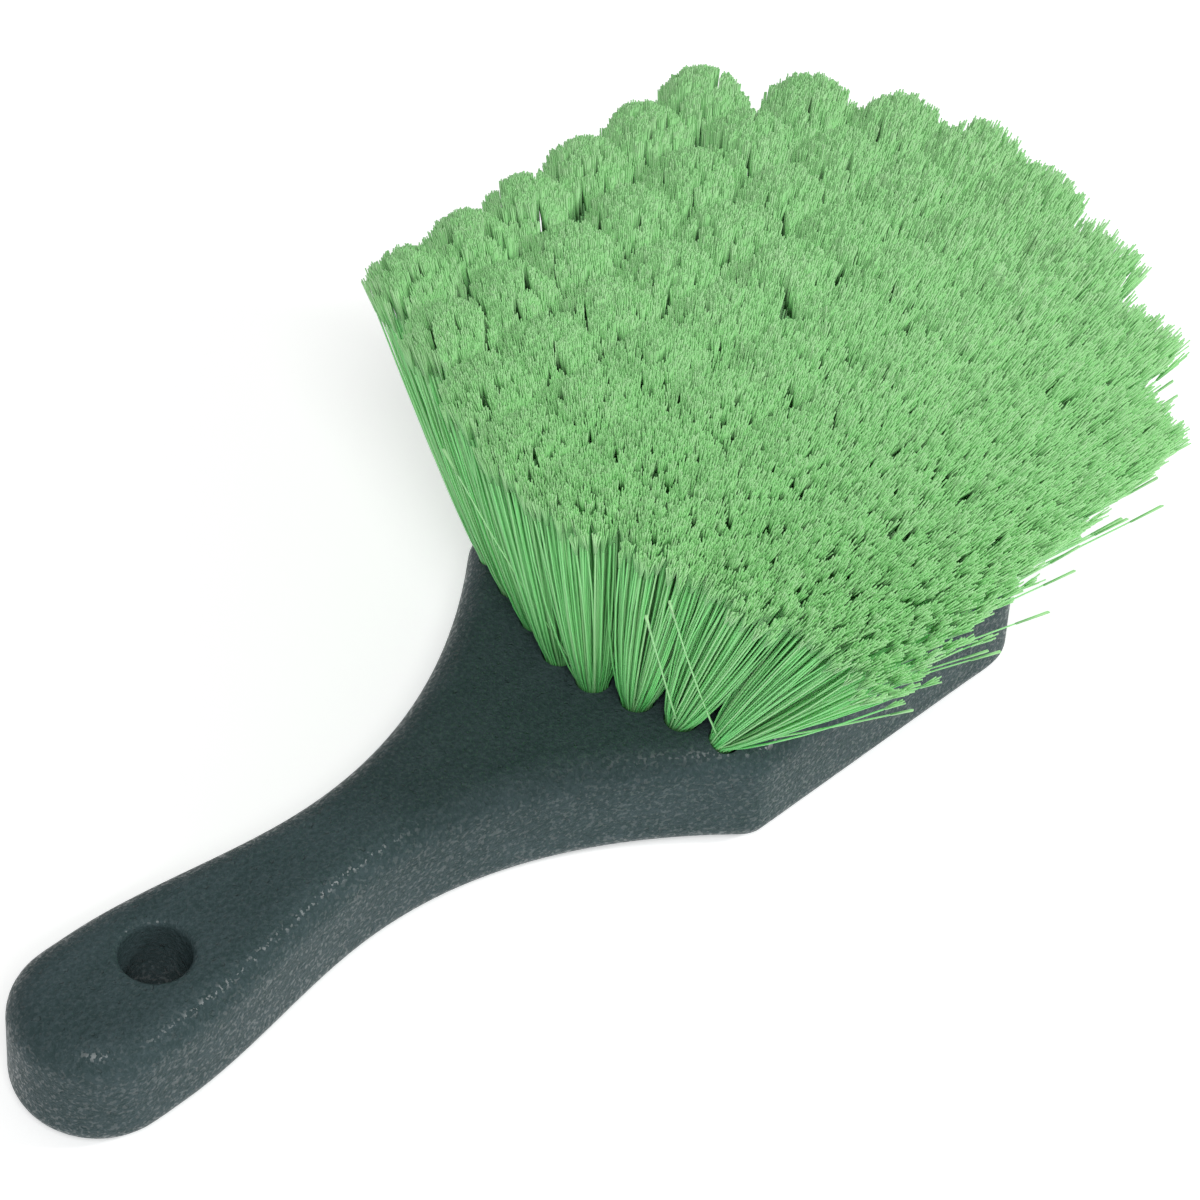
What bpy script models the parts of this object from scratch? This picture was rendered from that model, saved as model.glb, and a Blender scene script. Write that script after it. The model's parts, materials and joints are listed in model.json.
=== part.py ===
"""Wheel brush: a short-handled moulded block set with 58 flared tufts of green filament.

Units are metres. The back of the block lies on z = 0, +X points from the handle to the head
and +Y is the brush's left side. The origin is on the flat back, under the middle of the head.
Run it with: blender --background --python part.py
"""

import math

import bmesh
import bpy
from mathutils import Matrix, Vector

# Block, seen from above
HEAD_END_X = 0.046            # far end of the head
HEAD_HALF_WIDTH = 0.0418
HEAD_CORNER = 0.008           # radius of the head's far corners
SHOULDER_CORNER = 0.007       # radius where the flare meets the head's sides
SHOULDER_SLOPE = 0.87         # tangent of the flare's angle at the shoulder
SHOULDER_X = -0.0305          # where the flare's line would meet the head's side
NECK_X = -0.1024              # narrowest point of the handle
NECK_HALF_WIDTH = 0.0110
GRIP_RADIUS = 0.0173          # the handle's round end
HANDLE_END_X = -0.1826
GRIP_X = HANDLE_END_X + GRIP_RADIUS
GRIP_TAPER_X = -0.1587        # the grip starts to narrow here

# Block, seen from the side
THICKNESS = 0.0271
EDGE_RADIUS = 0.0070          # the generous rounding along both faces

# Hang hole
HANG_HOLE_X = -0.1508
HANG_HOLE_RADIUS = 0.0071
HANG_RIM_RADIUS = 0.0015      # the hole's softened rims

# Tufts: eight columns side by side, each with six to eight tufts from the handle outwards
TUFTS_IN_COLUMN = (6, 7, 8, 8, 8, 8, 7, 6)
COLUMN_PITCH = 0.009525
FRONT_ROW_X = -0.04235        # where the front row's two straight lines meet
FRONT_ROW_SLOPE = 0.312       # the front row falls back towards the sides
FAR_ROW_X = 0.0389            # crown of the arched far row
FAR_ROW_ARCH = 0.0564         # twice the arch's radius
TUFT_HOLE_RADIUS = 0.0034
TUFT_HOLE_DEPTH = 0.0125
TUFT_FOOT_RADIUS = 0.00305
FOOT_GAP = 0.0004             # between a tuft's folded end and the bottom of its hole
TRIM = 0.0635                 # filament length above the block
TIP_RADIUS = 0.0073
TIP_CROWN = 0.0018            # a tuft's rim lies this far below its middle
FAN_X = 0.548                 # a tip moves this much further out than its foot
FAN_Y = 0.66
FAN_CENTRE_X = -0.0249        # tufts at this x lean neither forwards nor back
RIGHT_SPLAY = 0.0125          # the right-hand column's tips are pressed out this much more
SPLAY_POWER = 1.5             # how fast that fades towards the middle

# How finely curves are drawn
OUTLINE_STEP = 0.0045
EDGE_STEPS = 5
HANG_HOLE_SIDES = 32
RIM_STEPS = 3
TUFT_SIDES = 12
CUT_PAST = 0.002              # how far a cutter runs past the surface it opens


def clear_scene():
    """Remove whatever the file opened with."""
    for obj in list(bpy.data.objects):
        bpy.data.objects.remove(obj, do_unlink=True)


def principled(name, colour, roughness, metallic=0.0):
    """A plain material of one colour, given in linear RGB."""
    material = bpy.data.materials.new(name)
    material.use_nodes = True
    shader = material.node_tree.nodes["Principled BSDF"]
    shader.inputs["Base Color"].default_value = (*colour, 1.0)
    shader.inputs["Roughness"].default_value = roughness
    shader.inputs["Metallic"].default_value = metallic
    return material


def foam_plastic():
    return principled("foam_plastic", (0.040, 0.055, 0.054), 0.55)


def green_filament():
    return principled("green_filament", (0.19, 0.48, 0.17), 0.45)


def add_object(name, mesh, material, parent=None, location=(0.0, 0.0, 0.0)):
    obj = bpy.data.objects.new(name, mesh)
    obj.data.materials.append(material)
    obj.location = location
    obj.parent = parent
    bpy.context.scene.collection.objects.link(obj)
    return obj


def skin_of_loops(name, loops):
    """A closed mesh through rings of points, with a flat face on the first and the last."""
    bm = bmesh.new()
    rings = [[bm.verts.new(point) for point in loop] for loop in loops]
    sides = len(rings[0])
    for low, high in zip(rings, rings[1:]):
        for i in range(sides):
            j = (i + 1) % sides
            bm.faces.new((low[i], low[j], high[j], high[i]))
    bm.faces.new(list(reversed(rings[0])))
    bm.faces.new(rings[-1])
    mesh = bpy.data.meshes.new(name)
    bm.to_mesh(mesh)
    bm.free()
    return mesh


def smooth(mesh, sharp_angle=math.radians(35)):
    mesh.shade_smooth()
    mesh.set_sharp_from_angle(angle=sharp_angle)


# ---------------------------------------------------------------- block

def arc(centre, radius, start, end, step=OUTLINE_STEP):
    """Points and outward normals along an arc, both its ends included."""
    count = max(3, math.ceil(abs(end - start) * radius / step))
    points = []
    for i in range(count + 1):
        angle = start + (end - start) * i / count
        normal = Vector((math.cos(angle), math.sin(angle)))
        points.append((centre + radius * normal, normal))
    return points


def hermite(start, end, start_slope, end_slope, step=OUTLINE_STEP):
    """Points and normals between two points of y(x), both ends left out."""
    length = end.x - start.x
    count = max(2, math.ceil(abs(length) / step))
    points = []
    for i in range(1, count):
        t = i / count
        y = ((2 * t**3 - 3 * t**2 + 1) * start.y + (t**3 - 2 * t**2 + t) * length * start_slope
             + (3 * t**2 - 2 * t**3) * end.y + (t**3 - t**2) * length * end_slope)
        slope = (6 * (t**2 - t) * (start.y - end.y) / length
                 + (3 * t**2 - 4 * t + 1) * start_slope + (3 * t**2 - 2 * t) * end_slope)
        points.append((Vector((start.x + t * length, y)), Vector((-slope, 1.0)).normalized()))
    return points


def left_outline():
    """The block's left edge from the handle's end to the middle of the head's far end."""
    taper = Vector((GRIP_TAPER_X, GRIP_RADIUS))
    neck = Vector((NECK_X, NECK_HALF_WIDTH))
    flare_angle = math.atan(SHOULDER_SLOPE)
    tangent = SHOULDER_CORNER * math.tan(flare_angle / 2)
    shoulder = Vector((SHOULDER_X + tangent, HEAD_HALF_WIDTH - SHOULDER_CORNER))
    flare_end = shoulder + SHOULDER_CORNER * Vector((-math.sin(flare_angle), math.cos(flare_angle)))
    far = Vector((HEAD_END_X - HEAD_CORNER, HEAD_HALF_WIDTH - HEAD_CORNER))

    points = arc(Vector((GRIP_X, 0.0)), GRIP_RADIUS, math.pi, math.pi / 2)
    points += [(taper, Vector((0.0, 1.0)))]
    points += hermite(taper, neck, 0.0, 0.0)
    points += [(neck, Vector((0.0, 1.0)))]
    points += hermite(neck, flare_end, 0.0, SHOULDER_SLOPE)
    points += arc(shoulder, SHOULDER_CORNER, math.pi / 2 + flare_angle, math.pi / 2)
    points += arc(far, HEAD_CORNER, math.pi / 2, 0.0)
    points += [(Vector((HEAD_END_X, 0.0)), Vector((1.0, 0.0)))]
    return points


def block_outline():
    """The whole outline, counter-clockwise seen from above."""
    left = left_outline()
    right = [(Vector((p.x, -p.y)), Vector((n.x, -n.y))) for p, n in left[1:-1]]
    return right + [left[-1]] + list(reversed(left[1:-1])) + [left[0]]


def block_mesh():
    """A slab of the outline with a quarter-round along each face."""
    outline = block_outline()
    loops = []
    for side in (-1, 1):
        for i in range(EDGE_STEPS + 1):
            share = i / EDGE_STEPS if side > 0 else 1 - i / EDGE_STEPS
            angle = share * math.pi / 2
            inset = EDGE_RADIUS * (1 - math.cos(angle))
            z = THICKNESS / 2 + side * (THICKNESS / 2 - EDGE_RADIUS + EDGE_RADIUS * math.sin(angle))
            loops.append([Vector((*(p - inset * n), z)) for p, n in outline])
    return skin_of_loops("handle_block", loops)


def hang_hole_mesh():
    """The hang hole's cutter: a round bar that flares to a soft rim at each face."""
    rim = [(HANG_HOLE_RADIUS + HANG_RIM_RADIUS, THICKNESS + CUT_PAST)]
    for i in range(RIM_STEPS + 1):
        angle = (i / RIM_STEPS) * math.pi / 2
        radius = HANG_HOLE_RADIUS + HANG_RIM_RADIUS * (1 - math.sin(angle))
        rim.append((radius, THICKNESS - HANG_RIM_RADIUS * (1 - math.cos(angle))))
    profile = [(radius, THICKNESS - z) for radius, z in rim] + list(reversed(rim))
    loops = []
    for radius, z in profile:
        turn = [2 * math.pi * i / HANG_HOLE_SIDES for i in range(HANG_HOLE_SIDES)]
        loops.append([Vector((radius * math.cos(a), radius * math.sin(a), z)) for a in turn])
    return skin_of_loops("hang_hole", loops)


def boolean_cut(target, cutter):
    cutter.hide_render = True
    cutter.display_type = "WIRE"
    cut = target.modifiers.new(cutter.name, "BOOLEAN")
    cut.operation = "DIFFERENCE"
    cut.solver = "EXACT"
    cut.object = cutter


# ---------------------------------------------------------------- tufts

def tuft_places():
    """(name, foot x, foot y) of every tuft, column by column from the left side."""
    places = []
    middle = (len(TUFTS_IN_COLUMN) - 1) / 2
    for column, count in enumerate(TUFTS_IN_COLUMN):
        y = (middle - column) * COLUMN_PITCH
        front = FRONT_ROW_X + FRONT_ROW_SLOPE * abs(y)
        far = FAR_ROW_X - y**2 / FAR_ROW_ARCH
        for row in range(count):
            x = front + (far - front) * row / (count - 1)
            places.append((f"bristle_tuft_c{column + 1}_{row + 1}", x, y))
    return places


def lean_of(x, y):
    """How far a tuft's hole leans, in metres sideways for each metre up."""
    return Vector((FAN_X * (x - FAN_CENTRE_X), FAN_Y * y)) / TRIM


def splay_of(y):
    """How far sideways the tips of a right-hand column are pressed beyond their lean."""
    outer = COLUMN_PITCH * (len(TUFTS_IN_COLUMN) - 1) / 2
    return Vector((0.0, -RIGHT_SPLAY * (max(-y, 0.0) / outer) ** SPLAY_POWER))


def drilled_ring(lean, z, radius):
    """A level cut at height z through a round hole drilled along the lean."""
    along = lean.normalized()
    across = Vector((-along.y, along.x))
    stretch = math.hypot(1.0, lean.length)
    ring = []
    for i in range(TUFT_SIDES):
        angle = 2 * math.pi * i / TUFT_SIDES
        spot = lean * z + radius * (stretch * math.cos(angle) * along + math.sin(angle) * across)
        ring.append(Vector((*spot, z)))
    return ring


def tip_ring(lean, splay, z, radius):
    """A level round cut through the flared filaments near their tips."""
    start = math.atan2(lean.y, lean.x)
    centre = lean * z + splay
    ring = []
    for i in range(TUFT_SIDES):
        angle = start + 2 * math.pi * i / TUFT_SIDES
        ring.append(Vector((centre.x + radius * math.cos(angle), centre.y + radius * math.sin(angle), z)))
    return ring


def tuft_mesh(name, lean, splay):
    """One tuft's envelope: a drilled foot, a flare and a slightly crowned trim."""
    loops = [
        drilled_ring(lean, FOOT_GAP - TUFT_HOLE_DEPTH, TUFT_FOOT_RADIUS),
        drilled_ring(lean, 0.0, TUFT_FOOT_RADIUS),
        tip_ring(lean, splay, TRIM - TIP_CROWN, TIP_RADIUS),
        tip_ring(lean, splay, TRIM, TIP_RADIUS / 2),
    ]
    return skin_of_loops(name, loops)


def tuft_holes_mesh(places):
    """One cutter for all the blind holes, each drilled along its tuft's lean."""
    bm = bmesh.new()
    for name, x, y in places:
        lean = lean_of(x, y)
        low = drilled_ring(lean, -TUFT_HOLE_DEPTH, TUFT_HOLE_RADIUS)
        high = drilled_ring(lean, CUT_PAST, TUFT_HOLE_RADIUS)
        hole = skin_of_loops(name, [low, high])
        hole.transform(Matrix.Translation((x, y, THICKNESS)))
        bm.from_mesh(hole)
        bpy.data.meshes.remove(hole)
    mesh = bpy.data.meshes.new("tuft_holes")
    bm.to_mesh(mesh)
    bm.free()
    return mesh


# ---------------------------------------------------------------- assembly

def build():
    clear_scene()
    places = tuft_places()
    plastic = foam_plastic()
    filament = green_filament()

    block = add_object("handle_block", block_mesh(), plastic)
    hang_hole = add_object("hang_hole_cutter", hang_hole_mesh(), plastic, location=(HANG_HOLE_X, 0.0, 0.0))
    tuft_holes = add_object("tuft_hole_cutter", tuft_holes_mesh(places), plastic)
    boolean_cut(block, hang_hole)
    boolean_cut(block, tuft_holes)
    smooth(block.data)

    face = bpy.data.objects.new("bristle_face", None)
    face.location = (0.0, 0.0, THICKNESS)
    bpy.context.scene.collection.objects.link(face)
    for name, x, y in places:
        mesh = tuft_mesh(name, lean_of(x, y), splay_of(y))
        smooth(mesh)
        add_object(name, mesh, filament, parent=face, location=(x, y, 0.0))


build()
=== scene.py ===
# %% [markdown]
# # A wheel brush: filaments, moulded foam and soft light
#
# The solids of this brush are already designed: one moulded block and 58 tuft envelopes.
# This lesson gives them their finish. It grows real filaments inside every envelope, gives the
# block its foamed skin, and lights the brush on a pale table. We begin by loading the solids,
# because every later size and place is measured on them.

# %% Load the frame
import json
import math

import bmesh
import bpy
import numpy as np
from mathutils import Matrix, Vector


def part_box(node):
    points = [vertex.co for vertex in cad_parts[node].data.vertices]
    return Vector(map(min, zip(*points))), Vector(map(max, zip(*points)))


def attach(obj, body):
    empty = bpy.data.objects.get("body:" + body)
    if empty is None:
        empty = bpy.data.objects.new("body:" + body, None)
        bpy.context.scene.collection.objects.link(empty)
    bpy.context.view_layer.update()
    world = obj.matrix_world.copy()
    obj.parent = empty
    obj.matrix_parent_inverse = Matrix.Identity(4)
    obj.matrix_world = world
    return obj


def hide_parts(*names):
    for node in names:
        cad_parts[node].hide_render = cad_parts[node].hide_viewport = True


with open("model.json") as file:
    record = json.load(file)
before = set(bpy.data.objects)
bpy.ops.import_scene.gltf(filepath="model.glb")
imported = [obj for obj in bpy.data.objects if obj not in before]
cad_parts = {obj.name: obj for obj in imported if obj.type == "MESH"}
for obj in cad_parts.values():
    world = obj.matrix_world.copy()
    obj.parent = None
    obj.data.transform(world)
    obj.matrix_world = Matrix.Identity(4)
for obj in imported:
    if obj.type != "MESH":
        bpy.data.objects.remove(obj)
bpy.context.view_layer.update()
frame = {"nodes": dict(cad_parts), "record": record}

MM = 0.001
TOUCH = 0.01 * MM             # a point this close to a level lies on it
block_low, block_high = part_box("handle_block")
FACE_Z = block_high.z
TUFT_NAMES = sorted(name for name in frame["nodes"] if name.startswith("bristle_tuft"))
print(f"{len(TUFT_NAMES)} tufts on a block {1000 * FACE_Z:.1f} mm thick")

# %% [markdown]
# ## The camera
#
# A long lens from about 1.2 m keeps the brush's proportions honest: the far end of the head
# hardly shrinks. The camera is aimed from three angles, as on a tripod: azimuth round the
# brush, elevation above the table, and a few degrees of roll. We build its axes from
# those angles, so that each number keeps its meaning.

# %% Place the camera
VIEW_AZIMUTH = math.radians(-46.5433)
VIEW_ELEVATION = math.radians(46.8848)
VIEW_ROLL = math.radians(3.6431)
VIEW_DISTANCE = 1.2156
VIEW_TARGET = Vector((-0.02503, 0.00972, FACE_Z))
LENS = 182.74


def view_axes(azimuth, elevation, roll):
    """Right, up and back directions of a camera that looks at the brush."""
    back = Vector((math.sin(azimuth) * math.cos(elevation),
                   -math.cos(azimuth) * math.cos(elevation),
                   math.sin(elevation)))
    right = Vector((0, 0, 1)).cross(back).normalized()
    up = back.cross(right)
    turned = math.cos(roll) * right + math.sin(roll) * up
    return turned, back.cross(turned), back


def place_camera():
    right, up, back = view_axes(VIEW_AZIMUTH, VIEW_ELEVATION, VIEW_ROLL)
    camera = bpy.data.objects.new("camera", bpy.data.cameras.new("camera"))
    bpy.context.scene.collection.objects.link(camera)
    camera.data.lens = LENS
    camera.data.clip_end = 20
    turn = Matrix((right, up, back)).transposed().to_4x4()
    camera.matrix_world = Matrix.Translation(VIEW_TARGET + VIEW_DISTANCE * back) @ turn
    bpy.context.scene.camera = camera
    return right, up, back


view_right, view_up, view_back = place_camera()
print("camera looks along", [round(-c, 3) for c in view_back])

# %% [markdown]
# ## A short way to write materials
#
# A procedural material is arithmetic on values that change over a surface. Wired by hand it
# becomes a page of node calls. One small class wraps a socket and turns Python's operators
# into Math nodes, so that `1 - mask` or `0.3 + 0.14 * grain` reads as what it is. A second
# class holds the material and adds every other kind of node through one method.

# %% The shader helpers
class Value:
    """A number that varies over the surface."""

    def __init__(self, finish, socket):
        self.finish = finish
        self.socket = socket

    def maths(self, operation, first, second=0.0):
        return self.finish.node("Math", {"operation": operation}, {0: first, 1: second})

    def __add__(self, other):
        return self.maths("ADD", self, other)

    def __sub__(self, other):
        return self.maths("SUBTRACT", self, other)

    def __rsub__(self, other):
        return self.maths("SUBTRACT", other, self)

    def __mul__(self, other):
        return self.maths("MULTIPLY", self, other)

    def __pow__(self, other):
        return self.maths("POWER", self, other)

    __radd__ = __add__
    __rmul__ = __mul__

    def between(self, low, high):
        """0 below low, 1 above high, and a smooth rise between them."""
        return self.finish.node("MapRange", {"interpolation_type": "SMOOTHSTEP"},
                                {"Value": self, "From Min": low, "From Max": high})


class Finish:
    """A material under construction."""

    def __init__(self, name):
        self.material = bpy.data.materials.new(name)
        self.material.use_nodes = True
        self.tree = self.material.node_tree
        self.shader = self.tree.nodes["Principled BSDF"]

    def feed(self, socket, value):
        if isinstance(value, Value):
            self.tree.links.new(value.socket, socket)
        else:
            socket.default_value = value

    def node(self, kind, settings=None, inputs=None, output=0):
        node = self.tree.nodes.new("ShaderNode" + kind)
        for name, value in (settings or {}).items():
            setattr(node, name, value)
        for key, value in (inputs or {}).items():
            self.feed(node.inputs[key], value)
        return Value(self, node.outputs[output])

    def mix(self, share, first, second):
        """Colour first where share is 0 and second where it is 1."""
        colours = [(*c, 1.0) if isinstance(c, tuple) else c for c in (first, second)]
        inputs = {0: share, 6: colours[0], 7: colours[1]}
        return self.node("Mix", {"data_type": "RGBA"}, inputs, output=2)

    def attribute(self, name):
        """A number that the mesh carries on its points."""
        return self.node("Attribute", {"attribute_name": name}, output="Fac")

    def place(self):
        """Where a point is on the object, in metres."""
        return self.node("TexCoord", output="Object")

    def noise(self, size, detail=2.0, roughness=0.5, stretch=(1, 1, 1)):
        """Cloudy noise whose blobs are about `size` metres across."""
        scaled = self.node("Mapping", inputs={"Vector": self.place(), "Scale": stretch})
        return self.node("TexNoise", inputs={"Vector": scaled, "Scale": 1 / size, "Detail": detail,
                                             "Roughness": roughness})

    def bump(self, height, depth):
        """Feeds the shader's normal from a height of 0 to 1 that stands for `depth` metres."""
        bumped = self.node("Bump", inputs={"Height": height, "Distance": depth, "Strength": 1.0})
        self.feed(self.shader.inputs["Normal"], bumped)

    def set(self, **sockets):
        for name, value in sockets.items():
            self.feed(self.shader.inputs[name.replace("_", " ")], value)


# %% [markdown]
# ## Filament plastic
#
# Brush filament is extruded and dyed right through. Light that gets in between the strands comes
# out a deeper, stronger green than the light off the tips, where the ends are split fine.
# Scattering light inside each strand would be the obvious way, but tubes this thin only turn grey with
# it, so plain plastic with three greens along its length comes closer to the real thing. The deep green
# at the foot and the bright, strong green along the shank are painted glow: the light that scatters
# between and through the strands is painted into the colour.
# Two numbers on each point tell the material where it is: `along` runs from 0 at the fold to 1
# at the tip, and `tint` is one draw per strand.

# %% Filament finish
# painted glow: the foot and shank greens stand in for light scattered through the tuft; the tip and
# pale greens are the strands' own tones
SHANK_PAINTED_GLOW_GREEN = (0.280, 0.800, 0.285)
TIP_GREEN = (0.335, 0.710, 0.290)
PALE_GREEN = (0.460, 0.770, 0.400)
FOOT_PAINTED_GLOW_GREEN = (0.160, 0.680, 0.190)
FOOT_END = 0.35               # the painted glow of the foot fades out by here along a strand
TIP_START = 0.82              # the green of the tip begins here
PALEST = 0.7                  # how far the palest strand goes towards the pale green


def filament_finish():
    finish = Finish("green_filament_plastic")
    along = finish.attribute("along")
    tint = finish.attribute("tint")
    # painted glow from the foot up the shank: light scattered through the tuft, painted into the colour
    shank = finish.mix(along.between(0.0, FOOT_END), FOOT_PAINTED_GLOW_GREEN, SHANK_PAINTED_GLOW_GREEN)
    body = finish.mix(along.between(TIP_START, 1.0), shank, TIP_GREEN)
    colour = finish.mix(PALEST * tint ** 2.0, body, PALE_GREEN)
    finish.set(Base_Color=colour, Roughness=0.5, Specular_IOR_Level=0.35)
    return finish.material


FILAMENT = filament_finish()
print("made", FILAMENT.name)

# %% [markdown]
# ## Where the tufts stand
#
# Each tuft leaves the block at its own place and its own lean, so that the bristles fan out. Both are
# read off its solid: the middle of its section at the block's face and the middle of its
# trimmed end. The distance to the next trimmed ends says how much room its tips may fill.

# %% Measure the tufts
def node_points(name):
    mesh = frame["nodes"][name].data
    points = np.empty(3 * len(mesh.vertices))
    mesh.vertices.foreach_get("co", points)
    return points.reshape(-1, 3)


def tuft_axis(name):
    """Centre of the tuft where it leaves the block, and of its trimmed end, read off its solid."""
    points = node_points(name)
    foot = points[np.abs(points[:, 2] - FACE_Z) < TOUCH].mean(0)
    tip = points[points[:, 2] > points[:, 2].max() - TOUCH].mean(0)
    return foot, tip


def column_and_row(name):
    column, row = name.split("_c")[1].split("_")
    return int(column), int(row)


AXES = {column_and_row(name): tuft_axis(name) for name in TUFT_NAMES}
COLUMNS = max(column for column, row in AXES)
ROWS = [sum(column == number for column, row in AXES) for number in range(1, COLUMNS + 1)]
print("tufts in each column:", ROWS)


# %% Room at the tips
def column_middle(number):
    """How far across the brush the tips of a column stand."""
    return np.mean([tip[1] for (column, row), (foot, tip) in AXES.items() if column == number])


MIDDLES = {number: column_middle(number) for number in range(1, COLUMNS + 1)}


def half_room(column, row):
    """Half the distance from a tuft's tip to the next ones, along the brush and across it."""
    here = AXES[column, row][1][0]
    rows = [near for near in (row - 1, row + 1) if (column, near) in AXES]
    columns = [near for near in (column - 1, column + 1) if near in MIDDLES]
    along = np.mean([abs(AXES[column, near][1][0] - here) for near in rows])
    across = np.mean([abs(MIDDLES[near] - MIDDLES[column]) for near in columns])
    return np.array([along, across]) / 2


rooms = 1000 * np.array([half_room(*key) for key in AXES])
print("half pitch at the tips, mm:", np.round(rooms.min(0), 1), "to", np.round(rooms.max(0), 1))

# %% [markdown]
# ## How use has worn the brush
#
# A new tuft is trimmed to a round crown. Pressed against wheels, the crown is beaten flat, the ends
# spread into each other and their fine splits break off. On this brush the first column, on the
# left, is as good as new and the last is the most worn. So each measure that wear changes is
# written as a pair, new and worn, and one helper reads it for any column between.

# %% Wear by column
WEAR = np.linspace(0, 1, COLUMNS)


def worn_to(pair, column):
    """What a (new, worn) pair of measures has come to in a column of tufts."""
    new, worn = pair
    return new + WEAR[column - 1] * (worn - new)


print("wear by column:", np.round(WEAR, 2))

# %% [markdown]
# ## Growing one tuft
#
# On the machine, a bundle of straight filament is folded in half over a wire, driven into a
# drilled hole and trimmed. So one strand has two visible ends. We build strands the same way:
# each is a single tube that comes down one side of the wire, turns under it and goes up
# the other side. A particle or hair system could draw the same picture, but tubes of mesh keep
# their true size, and they export as solids.
#
# The strands of a tuft are drawn together as arrays, because 58 tufts hold six thousand of
# them with two ends each, and a loop over each point would be slow.
#
# The two legs of a strand start at the same place on each side of the wire. A sunflower spiral packs
# such places evenly into a round hole. Ends that lie near each other cling together, which
# is what breaks the tip of a tuft into little locks.

# %% Where strands stand
STRANDS = 104                 # folded strands in a hole, two ends each
SPOT_SCATTER = 0.02           # how far a strand strays from its even place, of the hole's radius
CLUMPS = 16
CLUMP_PULL = (0.28, 0.112)    # new and worn: how far a spot moves towards its clump's centre


def half_disc(count, rng):
    """Evenly packed points in the right half of a unit disc."""
    turn = math.pi * (3 - math.sqrt(5))
    k = np.arange(2 * count) + 0.5
    radius = np.sqrt(k / (2 * count))
    spots = np.stack([radius * np.cos(turn * k), radius * np.sin(turn * k)], 1)
    half = spots[np.argsort(-spots[:, 0])[:count]]
    half[:, 0] = np.abs(half[:, 0])
    return half + rng.normal(0, SPOT_SCATTER, half.shape)


def clumped(spots, pull, rng):
    """Pulls each spot towards the nearest of a few random centres, and says which."""
    centres = half_disc(CLUMPS, rng) * np.where(rng.random((CLUMPS, 1)) < 0.5, (-1, 1), (1, 1))
    nearest = np.linalg.norm(spots[:, None] - centres[None], axis=2).argmin(1)
    return spots + pull * (centres[nearest] - spots), nearest


print(f"{2 * STRANDS} ends in each tuft, clinging together in {CLUMPS} clumps")

# %% [markdown]
# A tube is a ring of points carried along a path. Done one strand at a time this is a sweep, as a
# curve's bevel makes it. Done on arrays it is the same sum for every strand at once. Each tuft's
# tubes go into one mesh, which also carries the two numbers that the filament finish reads.

# %% Tubes from arrays
def tube_rings(paths, radii, sides, level):
    """Rings of points round many paths at once: paths is strands x points x 3, none along level."""
    along = np.gradient(paths, axis=1)
    along /= np.linalg.norm(along, axis=2, keepdims=True)
    across = level - (along @ level)[..., None] * along
    across /= np.linalg.norm(across, axis=2, keepdims=True)
    third = np.cross(along, across)
    angle = 2 * np.pi * (np.arange(sides) + 0.5) / sides
    offset = np.cos(angle)[:, None] * across[:, :, None] + np.sin(angle)[:, None] * third[:, :, None]
    return paths[:, :, None] + radii[..., None, None] * offset


def tube_faces(strands, rings, sides, start):
    """Side quads and end caps for tubes laid out strand by strand, ring by ring."""
    first = start + np.arange(strands)[:, None, None] * rings * sides
    ring = np.arange(rings - 1)[None, :, None] * sides
    side = np.arange(sides)[None, None, :]
    after = (side + 1) % sides
    quads = np.stack(np.broadcast_arrays(first + ring + side, first + ring + after,
                                         first + ring + sides + after, first + ring + sides + side), -1)
    starts = first[:, 0] + np.arange(sides)[::-1]
    ends = first[:, 0] + (rings - 1) * sides + np.arange(sides)
    return quads.reshape(-1, 4).tolist() + starts.tolist() + ends.tolist()


class Bundle:
    """Collects tubes whose points carry `along` and `tint`, and makes one mesh of them."""

    def __init__(self):
        self.points, self.along, self.tint, self.faces = [], [], [], []

    def add(self, paths, radii, sides, along, tint, level=(0.0, 1.0, 0.0)):
        rings = tube_rings(paths, np.broadcast_to(radii, paths.shape[:2]), sides, np.array(level))
        start = sum(len(p) for p in self.points)
        self.faces += tube_faces(len(paths), paths.shape[1], sides, start)
        self.points.append(rings.reshape(-1, 3))
        self.along.append(np.broadcast_to(np.asarray(along)[..., None], rings.shape[:3]).ravel())
        self.tint.append(np.broadcast_to(tint[:, None, None], rings.shape[:3]).ravel())

    def mesh(self, name):
        mesh = bpy.data.meshes.new(name)
        mesh.from_pydata(np.concatenate(self.points).tolist(), [], self.faces)
        mesh.shade_smooth()
        for label, values in (("along", self.along), ("tint", self.tint)):
            numbers = np.concatenate(values).astype(np.float32)
            mesh.attributes.new(label, "FLOAT", "POINT").data.foreach_set("value", numbers)
        return mesh


print(len(tube_faces(1, 2, 4, 0)), "faces on a square tube between two rings")

# %% [markdown]
# Where the ends stand decides how the brush looks from above. A tuft's ends fill its share of the room
# between its neighbours. The rim of its crown is lower than its middle, and where tufts press
# together their round bundles spread into the corners. In the last column nothing holds the
# bristles on the outer side: the tufts far from the handle stay drawn in, and the near ones
# have been pressed out and down.

# %% Where the ends stand
REACH = 0.54                  # a tuft's tips fill this share of the distance to the next tuft
CROWN = (6.2 * MM, 1.4 * MM)  # new and worn: the rim is this far below the middle
CROWN_POWER = 3               # flat in the middle and steep at the rim
CROWN_EDGE = 1.1              # beyond this share of the radius the crown falls no further
UNEVEN = (0.0, 0.9 * MM)      # new and worn: scatter in the ends' height
PROUD = (4.5 * MM, 0.675 * MM)     # new and worn: the middle stands this far above its solid
CLUMP_STEP = 0.25 * MM        # clumps stand this much higher or lower than each other
SQUARE = (0.15, 0.35)         # new and worn: how far a bundle spreads into its square's corners
CORNER_POWER = 1.5
JITTER = (0.25 * MM, 0.55 * MM)    # new and worn: scatter in the ends' places
EDGE_PULL = 0.3               # the far end of the last column leans in by this share of its reach
SPLAY = 4.5 * MM              # the near end of it is pressed out and down by this much


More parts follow.
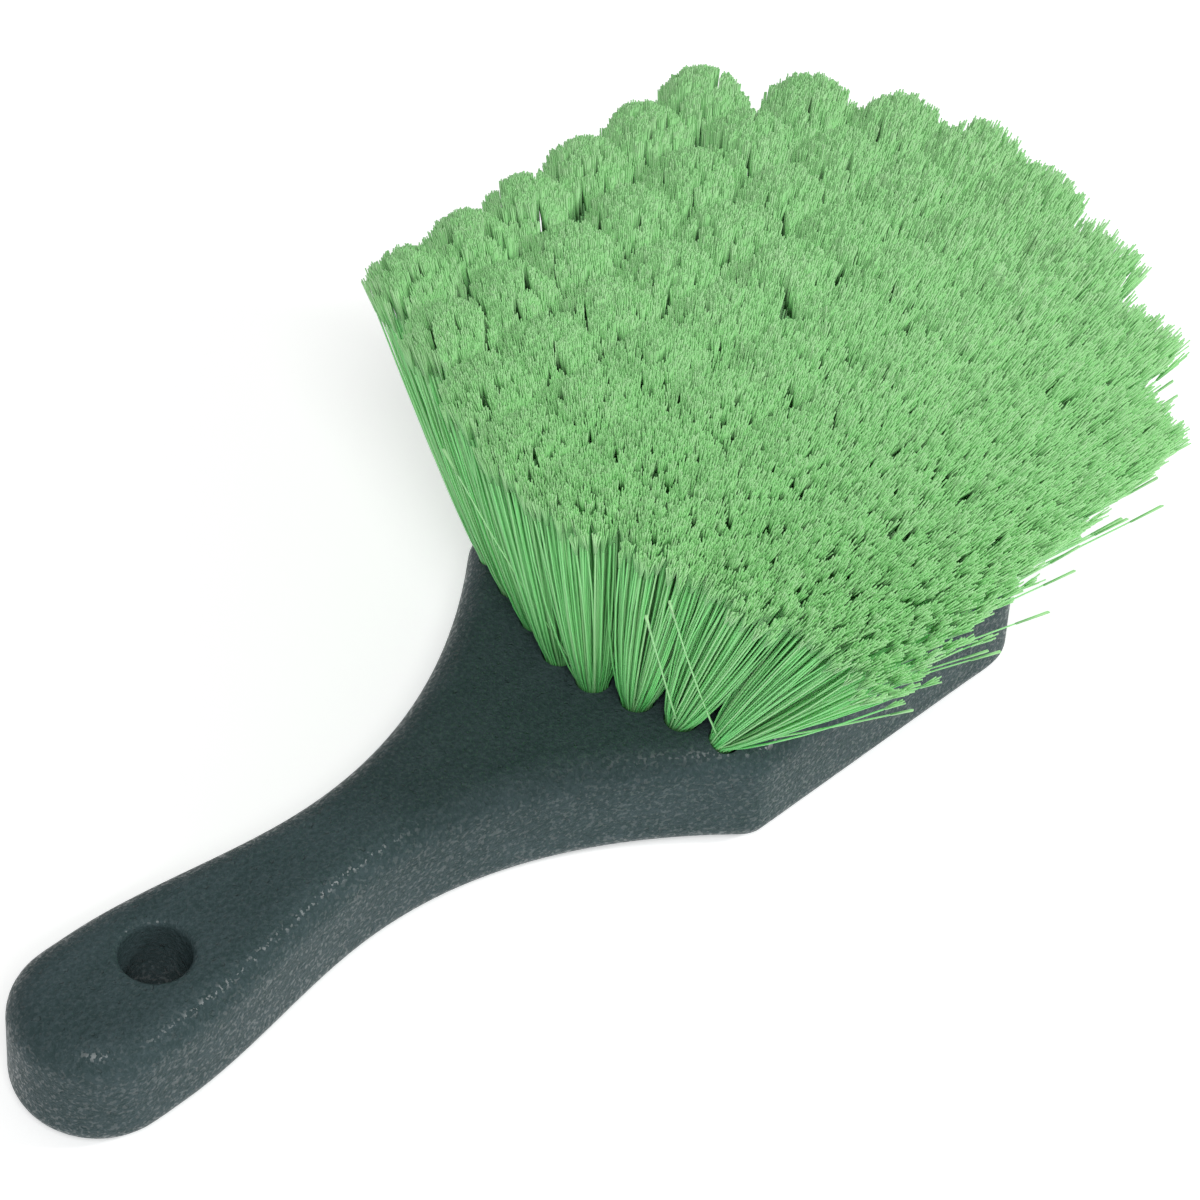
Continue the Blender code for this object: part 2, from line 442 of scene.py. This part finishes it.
def ends_of(column, row, spots, rng):
    """Where the ends of one side's legs stand."""
    foot, tip = AXES[column, row]
    pulled, clump = clumped(spots, worn_to(CLUMP_PULL, column), rng)
    lift = rng.normal(0, CLUMP_STEP, CLUMPS)[clump]
    radius = np.minimum(np.linalg.norm(pulled, axis=1), CROWN_EDGE)
    drop = worn_to(CROWN, column) * radius ** CROWN_POWER
    drop += rng.normal(0, worn_to(UNEVEN, column), len(spots))
    corner = (2 * np.abs(pulled[:, :1] * pulled[:, 1:])) ** CORNER_POWER
    room = 2 * REACH * half_room(column, row)
    aside = room * pulled * (1 + worn_to(SQUARE, column) * corner)
    aside += rng.normal(0, worn_to(JITTER, column), spots.shape)
    if column == COLUMNS:
        far = (row - 1) / (ROWS[-1] - 1)
        outward = (tip - foot)[:2] / np.linalg.norm((tip - foot)[:2])
        overhang = REACH * room.mean() + aside @ outward
        aside -= far * EDGE_PULL * overhang[:, None] * outward
        splay = (1 - far) * SPLAY * np.maximum(-pulled[:, 1], 0)
        aside[:, 1] -= splay
        drop += splay
    return tip + np.c_[aside, worn_to(PROUD, column) + lift - drop]


for column in (1, COLUMNS):
    print(f"column {column}: rim {1000 * worn_to(CROWN, column):.1f} mm below the middle")

# %% [markdown]
# A leg leaves its hole steeply, because the bundle springs open as soon as the hole lets go of it, and
# straightens on its way up. Below the face its two legs meet under the anchor wire.

# %% Legs and folds
STRAND_RADIUS = 0.23 * MM
STRAND_TAPER = 0.78           # the radius at the tip, as a share of that at the fold
STRAND_SIDES = 4
MOUTH_RADIUS = 3.15 * MM
BULGE = 3.0 * MM              # how far the bundle springs open just above its hole
BULGE_RISE = 0.6              # below 1, so that it opens early
BOW = 0.5 * MM                # how far a strand bends off its straight way
FLAG_SHARE = 0.11             # the split part's share of the free length
LEG_HEIGHTS = (1 - FLAG_SHARE) * np.array((0.0, 0.08, 0.22, 0.45, 0.72, 1.0))
WIRE_DEPTH = 9.3 * MM         # the anchor wire lies this far below the face
WAIST = 0.35 * MM             # half the gap that the wire keeps between the two legs
FOLD_REACH = 0.7 * MOUTH_RADIUS    # the outermost leg passes the wire this far from the innermost
FOLD_WIDTH = 0.8 * MOUTH_RADIUS    # half the width of the bundle along the wire
FOLD_GAP = 0.3 * MM           # the innermost strand turns this far below the wire
FOLD_DROP = 2.1 * MM          # and the outermost this much further


def level_offsets(amounts):
    """Sideways offsets with no height, one per strand and the same at each point of its path."""
    return np.c_[amounts, np.zeros(len(amounts))][:, None]


def leg_paths(foot, spots, ends, rng):
    """Legs from their hole's mouth to where their flags begin."""
    mouth = foot + np.c_[MOUTH_RADIUS * spots, np.zeros(len(spots))]
    share = LEG_HEIGHTS[None, :, None]
    bulge = level_offsets(BULGE * spots) * share ** BULGE_RISE * (1 - share)
    bow = level_offsets(rng.normal(0, BOW, spots.shape)) * 4 * share * (1 - share)
    return mouth[:, None] + (ends - mouth)[:, None] * share + bulge + bow


def fold_paths(foot, tip, half):
    """The way down one side of the wire, under it and up the other."""
    axis = (tip - foot) / (tip - foot)[2]
    wire = foot - WIRE_DEPTH * axis
    flat = np.zeros(len(half))
    aside = WAIST + FOLD_REACH * half[:, 0]
    level = FOLD_WIDTH * half[:, 1]
    down = wire + np.c_[aside, level, flat]
    under = wire + np.c_[flat, level, -FOLD_GAP - FOLD_DROP * half[:, 0]]
    up = wire + np.c_[-aside, level, flat]
    return np.stack([down, under, up], 1)


def strand_radii(heights):
    return STRAND_RADIUS * (1 - (1 - STRAND_TAPER) * heights)


print(f"strands {2000 * STRAND_RADIUS:.2f} mm thick, {2000 * strand_radii(1.0):.2f} mm at the tip")

# %% [markdown]
# The last ninth of each leg is split: machines beat the trimmed ends until each filament frays into
# finer ones, which makes the brush soft and closes its face. Every split is a short straight tube
# that starts inside the strand's end and spreads a little.

# %% Flags
FLAGS = 8                     # fine splits at each end
FLAG_SIDES = 3
FLAG_RADII = np.array((0.1615, 0.171)) * MM
FLAG_SPREAD = (0.68 * MM, 1.088 * MM)   # new and worn: the splits' ends stand in a disc of this radius
FLAG_WEAR = (0.07, 0.47)      # new and worn: the shortest split has lost this share of its length
WEAR_POWER = 1.5              # above 1, so that few splits are that short
FLAG_ROOT = 0.05              # a split starts inside the strand by this share of its length
FLAG_TINT = 0.15              # scatter of tint between the splits of a strand


def add_flags(bundle, legs, ends, tint, spread, wear, rng):
    """Fine splits from the end of each leg."""
    root = legs[:, -1]
    run = (ends - root)[:, None]
    angle = (np.arange(FLAGS) + rng.random((len(legs), 1))) * 2 * np.pi / FLAGS
    ring = np.stack([np.cos(angle), np.sin(angle), np.zeros_like(angle)], 2)
    aside = spread * np.sqrt(rng.random(angle.shape))[..., None]
    length = 1 - wear * rng.random(angle.shape)[..., None] ** WEAR_POWER
    start = root[:, None] - FLAG_ROOT * run + STRAND_RADIUS / 2 * ring
    paths = np.stack([start, root[:, None] + run * length + aside * ring], 2).reshape(-1, 2, 3)
    tints = np.clip(np.repeat(tint, FLAGS) + rng.normal(0, FLAG_TINT, len(paths)), 0, 1)
    bundle.add(paths, FLAG_RADII, FLAG_SIDES, np.array([[1 - FLAG_SHARE, 1.0]]), tints)


print(2 * STRANDS * FLAGS, "splits in each tuft")


# %% One tuft
def tuft_mesh(name, seed):
    rng = np.random.default_rng(seed)
    column, row = column_and_row(name)
    foot, tip = AXES[column, row]
    half = half_disc(STRANDS, rng)
    sides = [half, half * (-1, 1)]
    ends = [ends_of(column, row, spots, rng) for spots in sides]
    legs = [leg_paths(foot, spots, tips, rng) for spots, tips in zip(sides, ends)]
    fold = fold_paths(foot, tip, half)
    paths = np.concatenate([legs[0][:, ::-1], fold, legs[1]], 1)
    heights = np.concatenate([LEG_HEIGHTS[::-1], np.zeros(fold.shape[1]), LEG_HEIGHTS])
    tint = rng.random(STRANDS)
    bundle = Bundle()
    bundle.add(paths, strand_radii(heights), STRAND_SIDES, heights[None], tint)
    spread = worn_to(FLAG_SPREAD, column)
    wear = worn_to(FLAG_WEAR, column)
    for leg, tips in zip(legs, ends):
        add_flags(bundle, leg, tips, tint, spread, wear, rng)
    return bundle.mesh(name)


# %% [markdown]
# ## All the tufts
#
# Each tuft of strands stands for one solid envelope, and is seeded by its own number, so that
# no two are alike and each run draws the same brush.

# %% Grow every tuft
def add_piece(name, mesh, material, slot, *nodes):
    piece = bpy.data.objects.new(name, mesh)
    bpy.context.scene.collection.objects.link(piece)
    mesh.materials.append(material)
    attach(piece, "root")
    if nodes:
        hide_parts(*nodes)
    return piece


triangles = 0
for number, name in enumerate(TUFT_NAMES):
    tuft = add_piece(name.replace("bristle_tuft", "filaments"), tuft_mesh(name, number), FILAMENT,
                     "green_filament", name)
    triangles += sum(len(p.vertices) - 2 for p in tuft.data.polygons)
print(f"{len(TUFT_NAMES)} tufts, {triangles} triangles")

# %% [markdown]
# ## Stray filaments
#
# A used brush always has a few filaments that have jumped out of line. Most stand off on the right,
# where the brush has been pressed against a wheel. A few cross the front rows. There is no rule
# to them, so each is listed: its tuft's column and row, and how far it leans along and across
# the brush for each unit that it rises.

# %% Strays
STRAYS = (
    (5, 1, -0.32, 0.44), (7, 1, -0.45, -0.22), (8, 1, -0.41, -0.08), (8, 1, 0.07, -0.89),
    (8, 1, 0.02, -0.83), (8, 1, -0.15, -0.80), (8, 1, -0.02, -0.98), (8, 2, 0.29, -1.01),
    (8, 2, 0.22, -0.96), (8, 2, 0.80, -1.05), (8, 3, 0.90, -0.84), (8, 3, 0.72, -0.92),
    (8, 4, 1.15, -0.90), (8, 4, 1.02, -0.86), (8, 5, 1.05, -0.95), (8, 5, 1.20, -0.80),
    (7, 7, 1.05, -0.62), (7, 7, 0.98, -0.70), (6, 8, 0.98, -0.44),
)
STRAY_LENGTH = 66 * MM
STRAY_TINT = 0.9
STRAY_SPOT = 0.6              # it stands this share of the mouth's radius off the middle
STRAY_ROOT = 0.06             # and starts inside the hole by this share of its length
STRAY_SPREAD = 0.238 * MM


def stray_mesh():
    rng = np.random.default_rng(len(STRAYS))
    bundle = Bundle()
    for column, row, lean_x, lean_y in STRAYS:
        foot = AXES[column, row][0]
        lean = np.array([lean_x, lean_y, 1.0])
        run = STRAY_LENGTH * lean / np.linalg.norm(lean)
        end = (foot + run)[None]
        spot = STRAY_SPOT * run[None, :2] / np.linalg.norm(run[:2])
        leg = leg_paths(foot, spot, end, rng)
        low = leg[:, :1] - STRAY_ROOT * run
        tint = np.array([STRAY_TINT])
        heights = np.r_[0.0, LEG_HEIGHTS]
        path = np.concatenate([low, leg], 1)
        bundle.add(path, strand_radii(heights), STRAND_SIDES, heights[None], tint)
        add_flags(bundle, leg, end, tint, STRAY_SPREAD, FLAG_WEAR[0], rng)
    return bundle.mesh("stray_filaments")


add_piece("stray_filaments", stray_mesh(), FILAMENT, "green_filament")
print(len(STRAYS), "strays")

# %% [markdown]
# ## Anchor wires
#
# At the bottom of each hole a short wire pins the folded bundle. It is a little longer than the
# hole is wide, so that its ends bite into the plastic. Nobody sees it, but it is what holds the
# brush together, so it is made at its true size.

# %% Anchors
ANCHOR_HALF_LENGTH = 3.9 * MM
ANCHOR_RADIUS = 0.32 * MM
ANCHOR_SAG = 0.5 * MM         # its middle is pressed this far down
ANCHOR_RINGS = 7
ANCHOR_SIDES = 8
ZINC_DARK = (0.50, 0.50, 0.48)
ZINC_LIGHT = (0.66, 0.65, 0.62)
SPANGLE_SIZE = 0.5 * MM


def anchor_mesh():
    bundle = Bundle()
    share = np.linspace(-1, 1, ANCHOR_RINGS)
    kink = ANCHOR_RADIUS * share ** 4
    sag = -ANCHOR_SAG * (1 - share ** 2)
    shape = np.c_[kink, share * ANCHOR_HALF_LENGTH, sag]
    for foot, tip in AXES.values():
        centre = foot - WIRE_DEPTH * (tip - foot) / (tip - foot)[2]
        bundle.add((centre + shape)[None], ANCHOR_RADIUS, ANCHOR_SIDES, (share[None] + 1) / 2,
                   np.array([0.5]), level=(1.0, 0.0, 0.0))
    return bundle.mesh("anchor_wires")


def wire_finish():
    finish = Finish("galvanised_wire")
    spangle = finish.noise(SPANGLE_SIZE)
    finish.set(Base_Color=finish.mix(spangle, ZINC_DARK, ZINC_LIGHT),
               Roughness=0.3 + 0.2 * spangle, Metallic=1.0)
    return finish.material


add_piece("anchor_wires", anchor_mesh(), wire_finish(), "anchor_wire")
print(len(AXES), "anchors")

# %% [markdown]
# ## The moulded block
#
# The solid block is right, but its curves are drawn with few facets. We trace its outline off the
# solid, run a smooth curve through the points, and sweep the rounded edge again in fine
# steps. The holes are then drilled with a Boolean, each along its tuft's lean. Subdividing the drilled
# solid instead would have dragged every hole's rim out of round.

# %% Trace the outline
OUTLINE_STEP = 0.8 * MM
LONG_SIDE = 7 * MM            # a straight longer than this gets points of its own
STAR_CENTRE = np.array([-0.05, 0.0])    # from here the whole outline is in plain sight
CURVE_STEPS = 24              # steps of the smooth curve between two traced points


def coarse_outline(points):
    """The outline's points at the top of its lower rounding, in order round the block."""
    side = points[points[:, 1] > points[:, 1].max() - TOUCH]
    edge_radius = side[:, 2].min()
    ring = points[np.abs(points[:, 2] - edge_radius) < 2 * TOUCH]
    ring = np.unique(np.round(ring[:, :2], 7), axis=0)
    order = np.argsort(np.arctan2(*(ring - STAR_CENTRE).T[::-1]))
    return ring[order], edge_radius


def with_sides_filled(ring):
    """Adds points along straights, so that a smooth curve stays straight there."""
    filled = []
    for start, end in zip(ring, np.roll(ring, -1, 0)):
        pieces = max(1, math.ceil(np.linalg.norm(end - start) / LONG_SIDE))
        filled += [start + (end - start) * i / pieces for i in range(pieces)]
    return np.array(filled)


def smooth_loop(ring, step):
    """A Catmull-Rom curve through a closed ring of points, resampled evenly."""
    before, after, beyond = np.roll(ring, 1, 0), np.roll(ring, -1, 0), np.roll(ring, -2, 0)
    t = np.linspace(0, 1, CURVE_STEPS, endpoint=False)[None, :, None]
    a, b, c, d = (p[:, None] for p in (before, ring, after, beyond))
    curve = 0.5 * (2 * b + (c - a) * t + (2 * a - 5 * b + 4 * c - d) * t ** 2
                   + (3 * b - a - 3 * c + d) * t ** 3)
    curve = curve.reshape(-1, 2)
    closed = np.vstack([curve, curve[:1]])
    run = np.r_[0, np.cumsum(np.linalg.norm(np.diff(closed, axis=0), axis=1))]
    even = np.linspace(0, run[-1], round(run[-1] / step), endpoint=False)
    return np.c_[np.interp(even, run, closed[:, 0]), np.interp(even, run, closed[:, 1])]


block_points = node_points("handle_block")
coarse, EDGE_RADIUS = coarse_outline(block_points)
outline = smooth_loop(with_sides_filled(coarse), OUTLINE_STEP)
print(f"{len(coarse)} traced points make {len(outline)}, edge radius {1000 * EDGE_RADIUS:.1f} mm")

# %% Sweep the edge
EDGE_STEPS = 14
CORNER_SHARE = 0.85           # rounding stops short of the middle of a tight corner
STRAIGHT_BEND = 1.0           # a curve wider than 1 m counts as a 1 m one
CORNER_REACH = 4              # a corner's tightness counts this many points to each side


def skin(name, loops):
    """A closed mesh through rings of points, with a face on the first and the last."""
    count = len(loops[0])
    faces = []
    for low in range(0, (len(loops) - 1) * count, count):
        faces += [(low + i, low + (i + 1) % count, low + count + (i + 1) % count, low + count + i)
                  for i in range(count)]
    faces.append(tuple(reversed(range(count))))
    faces.append(tuple(range((len(loops) - 1) * count, len(loops) * count)))
    mesh = bpy.data.meshes.new(name)
    mesh.from_pydata(np.concatenate(loops).tolist(), [], faces)
    return mesh


def tightest_radius(ring):
    """The radius of the tightest outward curve near each point of a closed ring."""
    steps = np.roll(ring, -1, 0) - ring
    heading = np.unwrap(np.arctan2(steps[:, 1], steps[:, 0]))
    turn = (heading - np.roll(heading, 1) + math.pi) % (2 * math.pi) - math.pi
    bend = np.mean([np.roll(turn, k) for k in (-1, 0, 1)], 0) / OUTLINE_STEP
    near = range(-CORNER_REACH, CORNER_REACH + 1)
    sharpest = np.max([np.roll(bend, k) for k in near], 0)
    return 1 / np.maximum(sharpest, STRAIGHT_BEND)


def slab_loops(ring):
    """Level loops of the block, from its back to its face, with a quarter-round along each edge."""
    tangent = np.roll(ring, -1, 0) - np.roll(ring, 1, 0)
    normal = np.c_[tangent[:, 1], -tangent[:, 0]] / np.linalg.norm(tangent, axis=1)[:, None]
    deepest = CORNER_SHARE * tightest_radius(ring)
    quarter = np.linspace(0, math.pi / 2, EDGE_STEPS + 1)
    inset = EDGE_RADIUS * (1 - np.cos(quarter))
    height = EDGE_RADIUS * (1 - np.sin(quarter))
    levels = list(zip(inset[::-1], height[::-1])) + list(zip(inset, FACE_Z - height))
    return [np.c_[ring - np.minimum(inward, deepest)[:, None] * normal, np.full(len(ring), z)]
            for inward, z in levels]


block = bpy.data.objects.new("moulded_block", skin("moulded_block", slab_loops(outline)))
bpy.context.scene.collection.objects.link(block)
print("block swept:", len(block.data.polygons), "faces")

# %% Hole shapes
HOLE_RADIUS = 3.4 * MM
HOLE_DEPTH = 12.5 * MM
HOLE_LIP = 0.35 * MM          # the drill leaves a small soft lip
HOLE_POINT = 0.4 * MM         # the drill's corner is ground off over this height
POINT_SHARE = 0.9             # and its bottom is this share as wide
HOLE_SIDES = 40
PAST = 2 * MM                 # cutters run this far past the surface
RIM_STEPS = 6


def round_loops(centre, lean, levels):
    """Level circles of (height, radius) about a leaning axis through centre."""
    turn = 2 * np.pi * np.arange(HOLE_SIDES) / HOLE_SIDES
    circle = np.c_[np.cos(turn), np.sin(turn)]
    return [np.c_[centre[:2] + lean * z + r * circle, np.full(HOLE_SIDES, centre[2] + z)]
            for z, r in levels]


def hang_hole():
    """The hang hole's place and size, read off the solid."""
    low, high = frame["record"]["physics"]["openings"][0]["box_m"]
    centre = np.array([(low[0] + high[0]) / 2, (low[1] + high[1]) / 2, 0.0])
    reach = np.linalg.norm(block_points[:, :2] - centre[:2], axis=1)
    wall = reach.min()
    top = reach[np.abs(block_points[:, 2] - FACE_Z) < TOUCH].min()
    rim = top - wall
    flare = [(FACE_Z + PAST, top)]
    for turn in np.linspace(0, math.pi / 2, RIM_STEPS + 1):
        flare.append((FACE_Z - rim * (1 - math.cos(turn)), top - rim * math.sin(turn)))
    levels = [(FACE_Z - z, r) for z, r in flare] + flare[::-1]
    print(f"hang hole radius {1000 * wall:.1f} mm, rim {1000 * rim:.1f} mm")
    return round_loops(centre, np.zeros(2), levels)


def drilled_hole(foot, low):
    """A bristle hole from its bottom to past the face, leaning as its tuft's root does."""
    lean = ((foot - low) / (foot - low)[2])[:2]
    levels = [(-HOLE_DEPTH, POINT_SHARE * HOLE_RADIUS), (-HOLE_DEPTH + HOLE_POINT, HOLE_RADIUS),
              (-2 * HOLE_LIP, HOLE_RADIUS), (-HOLE_LIP, HOLE_RADIUS + HOLE_LIP / 4),
              (0, HOLE_RADIUS + HOLE_LIP), (PAST, HOLE_RADIUS + HOLE_LIP)]
    return round_loops(foot, lean, levels)


hang_loops = hang_hole()

# %% Drill the block
SHARP_ANGLE = math.radians(32)     # edges bent more than this are shaded sharp


def cut(target, cutter_mesh):
    cutter = bpy.data.objects.new(cutter_mesh.name, cutter_mesh)
    bpy.context.scene.collection.objects.link(cutter)
    modifier = target.modifiers.new("cut", "BOOLEAN")
    modifier.operation = "DIFFERENCE"
    modifier.solver = "EXACT"
    modifier.object = cutter
    bpy.context.view_layer.objects.active = target
    bpy.ops.object.modifier_apply(modifier=modifier.name)
    bpy.data.objects.remove(cutter)


def drill_mesh():
    bm = bmesh.new()
    for name in TUFT_NAMES:
        points = node_points(name)
        low = points[points[:, 2] < points[:, 2].min() + TOUCH].mean(0)
        foot = AXES[column_and_row(name)][0]
        hole = skin(name, drilled_hole(foot, low))
        bm.from_mesh(hole)
        bpy.data.meshes.remove(hole)
    mesh = bpy.data.meshes.new("drill")
    bm.to_mesh(mesh)
    bm.free()
    return mesh


cut(block, skin("hang_hole", hang_loops))
cut(block, drill_mesh())
block.data.shade_smooth()
block.data.set_sharp_from_angle(angle=SHARP_ANGLE)
print("block drilled:", len(block.data.polygons), "faces")

# %% [markdown]
# ## Foam skin
#
# The block is moulded in structural foam: gas swirls in the melt leave a fine grain of
# streaks and pits on a dark, slightly green-grey skin. Only the light along the rounded edges shows
# it, as a band of tiny glints. An even gloss would turn the whole side pale over a white table.
# So the skin itself is nearly dull, and a thin glossy coat lies only on small grains of it.

# %% Foam finish
FOAM_DARK = (0.032, 0.055, 0.056)
FOAM_LIGHT = (0.054, 0.081, 0.087)
SWIRL_SIZE = 9 * MM
SWIRL_STRETCH = (0.6, 1.6, 1.6)    # drawn out along the brush, as the melt flowed
GRAIN_SIZE = 1.0 * MM
PIT_SIZE = 1.7 * MM
GLINT_SIZE = 0.85 * MM
RELIEF = 0.5 * MM             # a bump height of 1 stands for this much


def foam_finish():
    finish = Finish("structural_foam_skin")
    swirl = finish.noise(SWIRL_SIZE, detail=5, roughness=0.6, stretch=SWIRL_STRETCH)
    grain = finish.noise(GRAIN_SIZE, detail=3, roughness=0.6)
    pits = finish.noise(PIT_SIZE, detail=2).between(0.62, 0.75)
    glints = finish.noise(GLINT_SIZE, detail=1).between(0.55, 0.63)
    cloud = 0.4 * swirl.between(0.3, 0.72) + 0.6 * grain.between(0.38, 0.62)
    finish.set(Base_Color=finish.mix(cloud, FOAM_DARK, FOAM_LIGHT), Roughness=0.3 + 0.14 * grain,
               Specular_IOR_Level=0.06, Coat_Weight=0.7 * glints, Coat_Roughness=0.33)
    finish.bump(grain + 0.6 * swirl - 0.5 * pits, RELIEF)
    return finish.material


FOAM = foam_finish()
block.data.materials.append(FOAM)
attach(block, "root")
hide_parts("handle_block")
print("block wears", FOAM.name)

# %% [markdown]
# ## Table and light
#
# A white table that glows a little and a bright, even surround keep the shadows pale. A lamp above
# would leave black slots between the filaments, so one large soft lamp shines from close to
# the viewer, and what it doesn't light can't be seen either. A small lamp low on the right
# draws the band of glints along the block's rounded edge.

# %% Table
TABLE_HALF = 3.0
TABLE_GAP = 0.1 * MM          # the table lies this far below the block's back
TABLE_GLOW = 0.42
TABLE_DARK = (0.88, 0.88, 0.88)
TABLE_LIGHT = (0.92, 0.92, 0.92)
CLOUD_SIZE = 0.4


def table():
    corners = [(-TABLE_HALF, -TABLE_HALF), (TABLE_HALF, -TABLE_HALF),
               (TABLE_HALF, TABLE_HALF), (-TABLE_HALF, TABLE_HALF)]
    mesh = bpy.data.meshes.new("table")
    mesh.from_pydata([(x, y, -TABLE_GAP) for x, y in corners], [], [(0, 1, 2, 3)])
    floor = bpy.data.objects.new("table", mesh)
    bpy.context.scene.collection.objects.link(floor)
    finish = Finish("white_table")
    white = finish.mix(finish.noise(CLOUD_SIZE), TABLE_DARK, TABLE_LIGHT)
    finish.set(Base_Color=white, Roughness=0.9, Emission_Color=(1.0, 1.0, 1.0, 1.0),
               Emission_Strength=TABLE_GLOW)
    mesh.materials.append(finish.material)


table()
print(f"table {2 * TABLE_HALF:.0f} m wide")


# %% Light
def area_light(name, direction, distance, size, power, aim):
    lamp = bpy.data.objects.new(name, bpy.data.lights.new(name, "AREA"))
    bpy.context.scene.collection.objects.link(lamp)
    lamp.data.shape = "DISK"
    lamp.data.size = size
    lamp.data.energy = power
    towards = Vector(direction).normalized()
    lamp.matrix_world = (Matrix.Translation(aim + distance * towards)
                         @ towards.to_track_quat("Z", "Y").to_matrix().to_4x4())


def surround(strength):
    world = bpy.data.worlds.new("surround")
    bpy.context.scene.world = world
    world.use_nodes = True
    world.node_tree.nodes["Background"].inputs["Color"].default_value = (1, 1, 1, 1)
    world.node_tree.nodes["Background"].inputs["Strength"].default_value = strength


surround(strength=0.32)
middle = (block_low + block_high) / 2
by_the_viewer = view_back + 0.04 * view_right + 0.10 * view_up
low_right = (0.48, -0.64, 0.60)
area_light("front_lamp", by_the_viewer, distance=3.0, size=1.1, power=44, aim=middle)
area_light("side_lamp", low_right, distance=1.2, size=0.2, power=5.2, aim=middle)
bpy.context.scene.view_settings.view_transform = "Standard"
